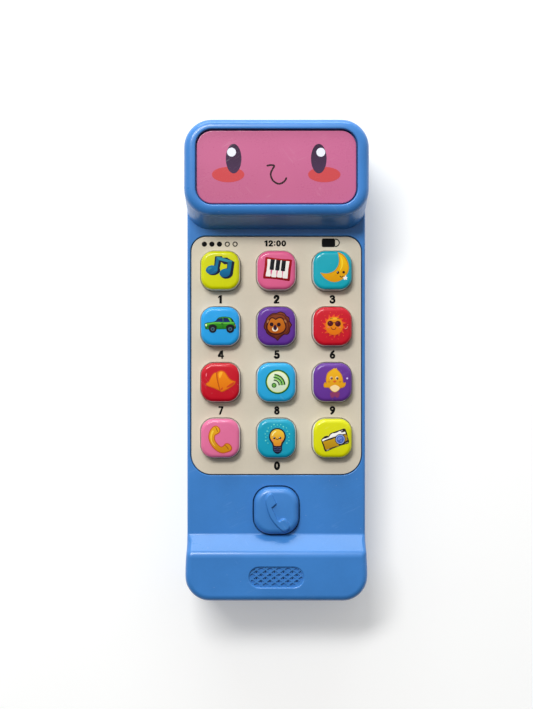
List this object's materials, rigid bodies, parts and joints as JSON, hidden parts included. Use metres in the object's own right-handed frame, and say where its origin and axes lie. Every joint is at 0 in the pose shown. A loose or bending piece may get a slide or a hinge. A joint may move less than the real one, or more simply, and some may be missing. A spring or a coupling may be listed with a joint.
{
  "type": "toy cell phone",
  "caption": "Chunky toy cell phone: raised head with a printed smiling face, a keypad of coloured picture keys, a call button and a low speaker block.",
  "frame": {"origin": "centre of the flat back, under the middle of the bounding box, lying on its back", "axes": "+X to the right of the face, +Y towards the head end, +Z out of the keypad"},
  "size_m": [0.061, 0.16, 0.03],
  "materials": {
    "shell_blue": "satin moulded ABS",
    "door_blue": "satin moulded ABS",
    "face_pink": "gloss, printed face",
    "panel_cream": "satin, printed digits",
    "key_yellow": "gloss top over white sides",
    "key_pink": "gloss top over white sides",
    "key_teal": "gloss top over white sides",
    "key_sky": "gloss top over white sides",
    "key_purple": "gloss top over white sides",
    "key_red": "gloss top over white sides",
    "steel_zinc": "zinc plated",
    "spring_steel": "nickel plated",
    "silicone_grey": "matte",
    "board_green": "solder mask",
    "epoxy_black": "matte epoxy",
    "cell_sleeve": "printed sleeve",
    "can_sleeve": "shrink sleeve",
    "speaker_black": "matte",
    "magnet_grey": "plated",
    "cone_film": "thin film",
    "led_lens": "diffused epoxy",
    "switch_black": "matte",
    "wire_red": "PVC insulation",
    "wire_black": "PVC insulation"
  },
  "bodies": {
    "housing": {"front_shell": "shell_blue", "rear_shell": "shell_blue", "face_panel": "face_pink", "keypad_panel": "panel_cream", "housing_screws": "steel_zinc", "led_board_screws": "steel_zinc", "pcb_screws": "steel_zinc", "power_switch_screws": "steel_zinc", "battery_contact_positive": "spring_steel", "battery_contact_negative": "spring_steel", "battery_bridge_contact": "spring_steel", "rubber_keypad": "silicone_grey", "main_pcb": "board_green", "led_board": "board_green", "sound_chip": "epoxy_black", "battery_upper": "cell_sleeve", "battery_lower": "cell_sleeve", "filter_capacitor": "can_sleeve", "speaker_frame": "speaker_black", "speaker_magnet": "magnet_grey", "speaker_cone": "cone_film", "face_leds": "led_lens", "power_switch_body": "switch_black", "battery_wire_red": "wire_red", "led_wire_red": "wire_red", "speaker_wire_red": "wire_red", "battery_wire_black": "wire_black", "led_wire_black": "wire_black", "speaker_wire_black": "wire_black"},
    "key_1_cap": {"key_1": "key_yellow"},
    "key_2_cap": {"key_2": "key_pink"},
    "key_3_cap": {"key_3": "key_teal"},
    "key_4_cap": {"key_4": "key_sky"},
    "key_5_cap": {"key_5": "key_purple"},
    "key_6_cap": {"key_6": "key_red"},
    "key_7_cap": {"key_7": "key_red"},
    "key_8_cap": {"key_8": "key_sky"},
    "key_9_cap": {"key_9": "key_purple"},
    "key_call_cap": {"key_call": "key_pink"},
    "key_0_cap": {"key_0": "key_teal"},
    "key_camera_cap": {"key_camera": "key_yellow"},
    "call_button_cap": {"call_button": "shell_blue"},
    "switch_knob": {"power_switch_knob": "switch_black"},
    "battery_cover": {"battery_door": "door_blue", "battery_door_screw": "steel_zinc"}
  },
  "joints": [
    {"name": "key_1_press", "type": "slide", "parent": "housing", "child": "key_1_cap", "axis": [0, 0, -1], "range_m": [0, 0.0012], "stiffness_N_per_m": 1200, "springref_m": -0.0005, "deforming": ["rubber_keypad"]},
    {"name": "key_2_press", "type": "slide", "parent": "housing", "child": "key_2_cap", "axis": [0, 0, -1], "range_m": [0, 0.0012], "stiffness_N_per_m": 1200, "springref_m": -0.0005, "deforming": ["rubber_keypad"]},
    {"name": "key_3_press", "type": "slide", "parent": "housing", "child": "key_3_cap", "axis": [0, 0, -1], "range_m": [0, 0.0012], "stiffness_N_per_m": 1200, "springref_m": -0.0005, "deforming": ["rubber_keypad"]},
    {"name": "key_4_press", "type": "slide", "parent": "housing", "child": "key_4_cap", "axis": [0, 0, -1], "range_m": [0, 0.0012], "stiffness_N_per_m": 1200, "springref_m": -0.0005, "deforming": ["rubber_keypad"]},
    {"name": "key_5_press", "type": "slide", "parent": "housing", "child": "key_5_cap", "axis": [0, 0, -1], "range_m": [0, 0.0012], "stiffness_N_per_m": 1200, "springref_m": -0.0005, "deforming": ["rubber_keypad"]},
    {"name": "key_6_press", "type": "slide", "parent": "housing", "child": "key_6_cap", "axis": [0, 0, -1], "range_m": [0, 0.0012], "stiffness_N_per_m": 1200, "springref_m": -0.0005, "deforming": ["rubber_keypad"]},
    {"name": "key_7_press", "type": "slide", "parent": "housing", "child": "key_7_cap", "axis": [0, 0, -1], "range_m": [0, 0.0012], "stiffness_N_per_m": 1200, "springref_m": -0.0005, "deforming": ["rubber_keypad"]},
    {"name": "key_8_press", "type": "slide", "parent": "housing", "child": "key_8_cap", "axis": [0, 0, -1], "range_m": [0, 0.0012], "stiffness_N_per_m": 1200, "springref_m": -0.0005, "deforming": ["rubber_keypad"]},
    {"name": "key_9_press", "type": "slide", "parent": "housing", "child": "key_9_cap", "axis": [0, 0, -1], "range_m": [0, 0.0012], "stiffness_N_per_m": 1200, "springref_m": -0.0005, "deforming": ["rubber_keypad"]},
    {"name": "key_call_press", "type": "slide", "parent": "housing", "child": "key_call_cap", "axis": [0, 0, -1], "range_m": [0, 0.0012], "stiffness_N_per_m": 1200, "springref_m": -0.0005, "deforming": ["rubber_keypad"]},
    {"name": "key_0_press", "type": "slide", "parent": "housing", "child": "key_0_cap", "axis": [0, 0, -1], "range_m": [0, 0.0012], "stiffness_N_per_m": 1200, "springref_m": -0.0005, "deforming": ["rubber_keypad"]},
    {"name": "key_camera_press", "type": "slide", "parent": "housing", "child": "key_camera_cap", "axis": [0, 0, -1], "range_m": [0, 0.0012], "stiffness_N_per_m": 1200, "springref_m": -0.0005, "deforming": ["rubber_keypad"]},
    {"name": "call_button_press", "type": "slide", "parent": "housing", "child": "call_button_cap", "axis": [0, 0, -1], "range_m": [0, 0.0012], "stiffness_N_per_m": 1200, "springref_m": -0.0005, "deforming": ["rubber_keypad"]},
    {"name": "power_switch_slide", "type": "slide", "parent": "housing", "child": "switch_knob", "axis": [1, 0, 0], "range_m": [0, 0.0025]},
    {"name": "battery_door_swing", "type": "hinge", "parent": "housing", "child": "battery_cover", "pos_m": [0, 0.07565, 0.0007], "axis": [1, 0, 0], "range_deg": [0, 80]}
  ]
}
